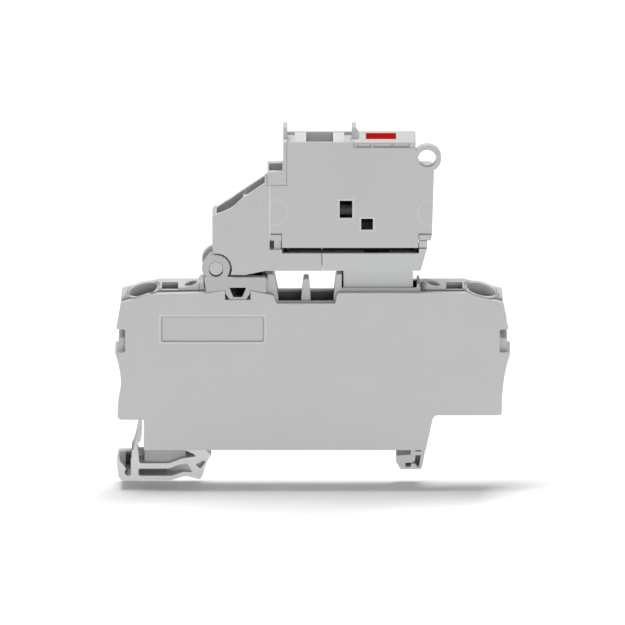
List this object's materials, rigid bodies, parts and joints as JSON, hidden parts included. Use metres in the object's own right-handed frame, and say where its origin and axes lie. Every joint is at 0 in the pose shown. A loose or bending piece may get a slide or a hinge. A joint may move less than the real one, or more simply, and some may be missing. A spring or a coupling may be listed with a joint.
{
  "type": "fuse terminal block",
  "caption": "Slim rail-mounted terminal block with a wire clamp at each end and a pivoting fuse holder, whose pull-out drawer has a red indicator lens and an eye.",
  "frame": {"origin": "centre of the rail seat: the flat underside of the housing between its two feet, at the middle of the 35 mm rail and of the block's thickness", "axes": "+Z away from the rail, X along the block from one wire clamp to the other, +Y from the end plate's outer face to the housing's back"},
  "size_m": [0.067, 0.0062, 0.0629],
  "materials": {
    "moulded_grey": "fine matte grain, as moulded",
    "plug_grey": "fine matte grain, slightly darker",
    "spring_steel": "drawn strip",
    "tinned_copper": "thin plating over copper",
    "nickel_cap": "plated, slightly dull",
    "fuse_glass": "clear",
    "red_lens": "glossy, tinted through",
    "circuit_board": "solder mask",
    "lamp_body": "moulded",
    "resistor_body": "lacquered"
  },
  "bodies": {
    "base": {"base_housing": "moulded_grey", "end_plate": "moulded_grey", "hinge_bracket": "moulded_grey", "current_bar_left": "tinned_copper", "current_bar_right": "tinned_copper", "clamp_spring_left": "spring_steel", "clamp_spring_right": "spring_steel", "fork_contact_left": "tinned_copper", "fork_contact_right": "tinned_copper"},
    "fuse_holder": {"pivot_arm": "moulded_grey", "contact_base": "plug_grey", "blade_contact_left": "tinned_copper", "blade_contact_right": "tinned_copper"},
    "fuse_drawer": {"drawer_shell": "moulded_grey", "drawer_cover": "moulded_grey", "fuse_glass": "fuse_glass", "fuse_cap_left": "nickel_cap", "fuse_cap_right": "nickel_cap", "fuse_wire": "tinned_copper", "indicator_lens": "red_lens", "indicator_board": "circuit_board", "indicator_lamp": "lamp_body", "indicator_lead_left": "nickel_cap", "indicator_lead_right": "nickel_cap", "series_resistor": "resistor_body"}
  },
  "joints": [
    {"name": "fuse_holder_pivot", "type": "hinge", "parent": "base", "child": "fuse_holder", "pos_m": [-0.01569, 0, 0.0325], "axis": [0, -1, 0], "range_deg": [0, 90]},
    {"name": "fuse_drawer_pull", "type": "slide", "parent": "fuse_holder", "child": "fuse_drawer", "axis": [0, 0, 1], "range_m": [0, 0.014]}
  ]
}
